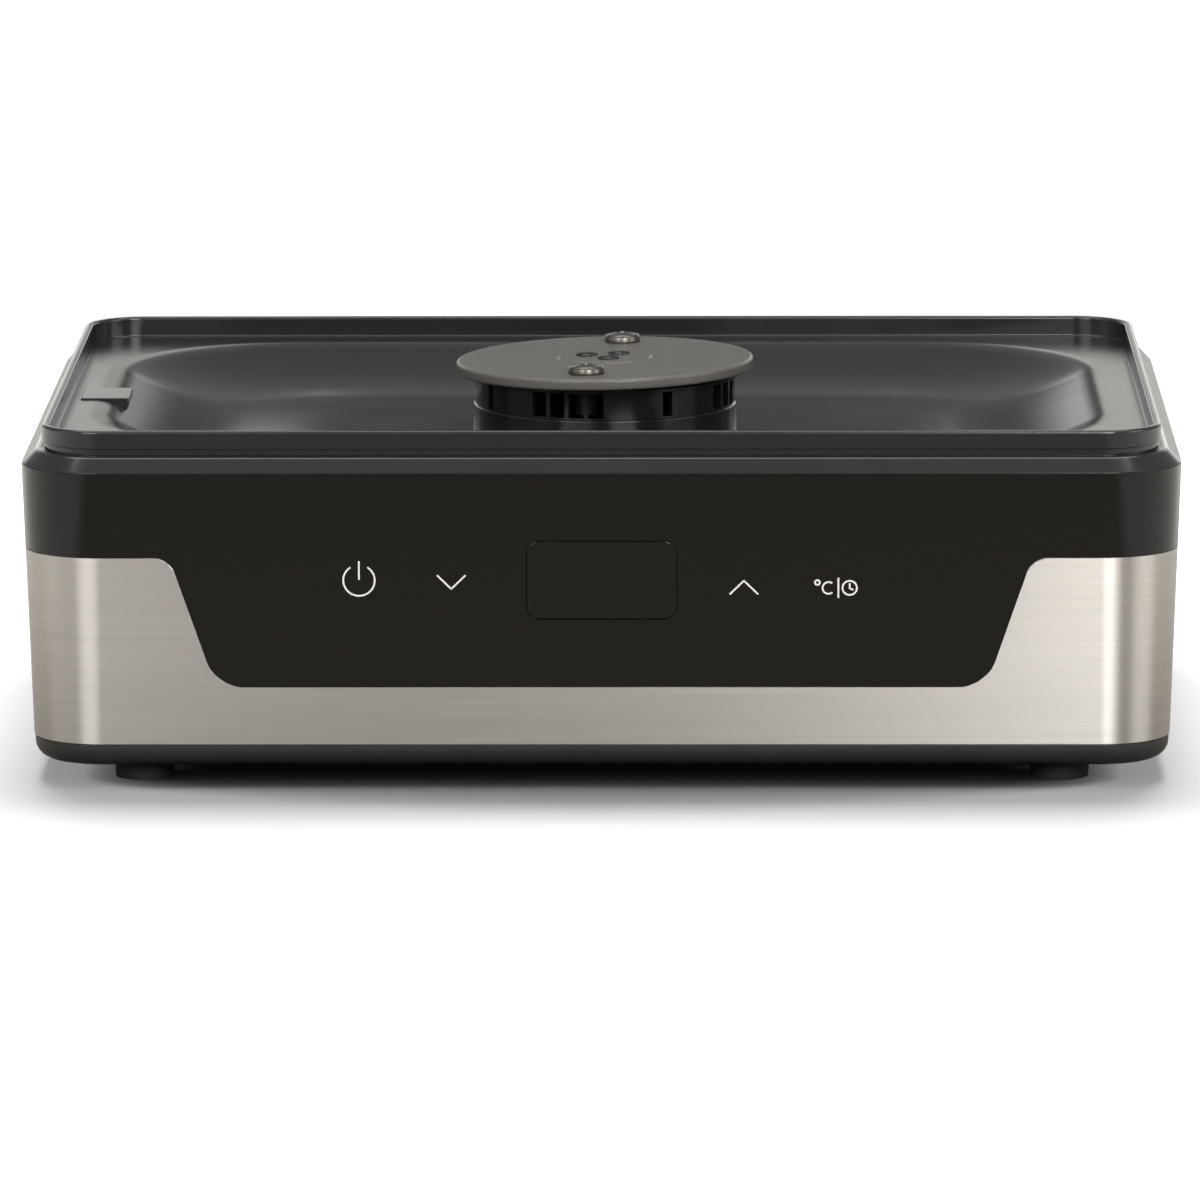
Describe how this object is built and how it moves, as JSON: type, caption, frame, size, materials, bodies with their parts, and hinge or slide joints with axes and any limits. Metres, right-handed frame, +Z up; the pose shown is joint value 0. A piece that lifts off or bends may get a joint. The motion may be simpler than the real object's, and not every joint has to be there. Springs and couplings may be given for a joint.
{
  "type": "food dehydrator base unit",
  "caption": "Rectangular food dehydrator base unit: steel and gloss black body with touch front, dished deck with a round air tower, and a fan and heater inside.",
  "frame": {"origin": "middle of the footprint, on the plane that the four rubber feet stand on", "axes": "+X to the right seen from the front, +Y to the back, +Z up; the touch front faces -Y"},
  "size_m": [0.34, 0.248, 0.1124],
  "materials": {
    "housing_satin": "fine satin moulded ABS",
    "gloss_black": "polished moulded ABS",
    "window_smoke": "smoked polycarbonate",
    "brushed_steel": "horizontal brushed",
    "frame_black": "moulded",
    "tower_black": "glossy heat-proof moulding",
    "cap_grey": "fine eroded texture",
    "foot_rubber": "moulded",
    "zinc_steel": "zinc plated",
    "nickel_bright": "nickel plated",
    "mica": "pressed mica board",
    "nichrome": "drawn wire",
    "nylon_natural": "moulded",
    "electrical_steel": "stamped laminations",
    "copper_wire": "enamelled copper",
    "die_cast": "die cast",
    "sintered_bronze": "sintered",
    "ground_steel": "ground",
    "board_green": "solder resist",
    "part_blue": "moulded",
    "part_yellow": "tape",
    "part_dark": "sleeve",
    "part_green": "moulded",
    "heat_sink_alloy": "extruded",
    "fuse_glass": "glass tube",
    "display_white": "moulded",
    "spring_steel": "drawn",
    "ribbon_grey": "PVC",
    "lead_sheath": "silicone"
  },
  "bodies": {
    "base": {"top_deck": "housing_satin", "fascia_band": "gloss_black", "display_window": "window_smoke", "steel_sleeve": "brushed_steel", "inner_frame": "frame_black", "base_plate": "frame_black", "foot_front_left": "foot_rubber", "foot_front_right": "foot_rubber", "foot_rear_left": "foot_rubber", "foot_rear_right": "foot_rubber", "foot_screws": "zinc_steel", "body_screws": "zinc_steel", "air_collar": "tower_black", "vent_ring": "tower_black", "tower_cap": "cap_grey", "cap_washers": "nickel_bright", "cap_screws": "nickel_bright", "fan_duct": "frame_black", "duct_screws": "zinc_steel", "heater_frame": "mica", "heater_coil": "nichrome", "thermal_fuse": "zinc_steel", "thermostat": "zinc_steel", "temperature_sensor": "nylon_natural", "motor_stator": "electrical_steel", "motor_bobbin": "nylon_natural", "motor_coil": "copper_wire", "motor_bracket_lower": "die_cast", "motor_bracket_upper": "die_cast", "bearing_lower": "sintered_bronze", "bearing_upper": "sintered_bronze", "motor_screws": "zinc_steel", "motor_nuts": "zinc_steel", "motor_grommets": "foot_rubber", "motor_mount_screws": "zinc_steel", "power_board": "board_green", "board_screws": "zinc_steel", "relay": "part_blue", "transformer": "part_yellow", "capacitors": "part_dark", "triac": "part_dark", "heat_sink": "heat_sink_alloy", "terminal_block": "part_green", "mains_fuse": "fuse_glass", "control_board": "board_green", "control_screws": "zinc_steel", "led_display": "display_white", "touch_springs": "spring_steel", "buzzer": "part_dark", "ribbon_cable": "ribbon_grey", "wiring_loom": "lead_sheath", "cord_gland": "foot_rubber"},
    "rotor": {"fan_shaft": "ground_steel", "rotor_core": "electrical_steel", "thrust_washers": "nylon_natural", "impeller": "nylon_natural", "impeller_clip": "spring_steel"}
  },
  "joints": [
    {"name": "fan_spin", "type": "hinge", "parent": "base", "child": "rotor", "pos_m": [0, 0, 0.0315], "axis": [0, 0, 1], "continuous": true}
  ]
}
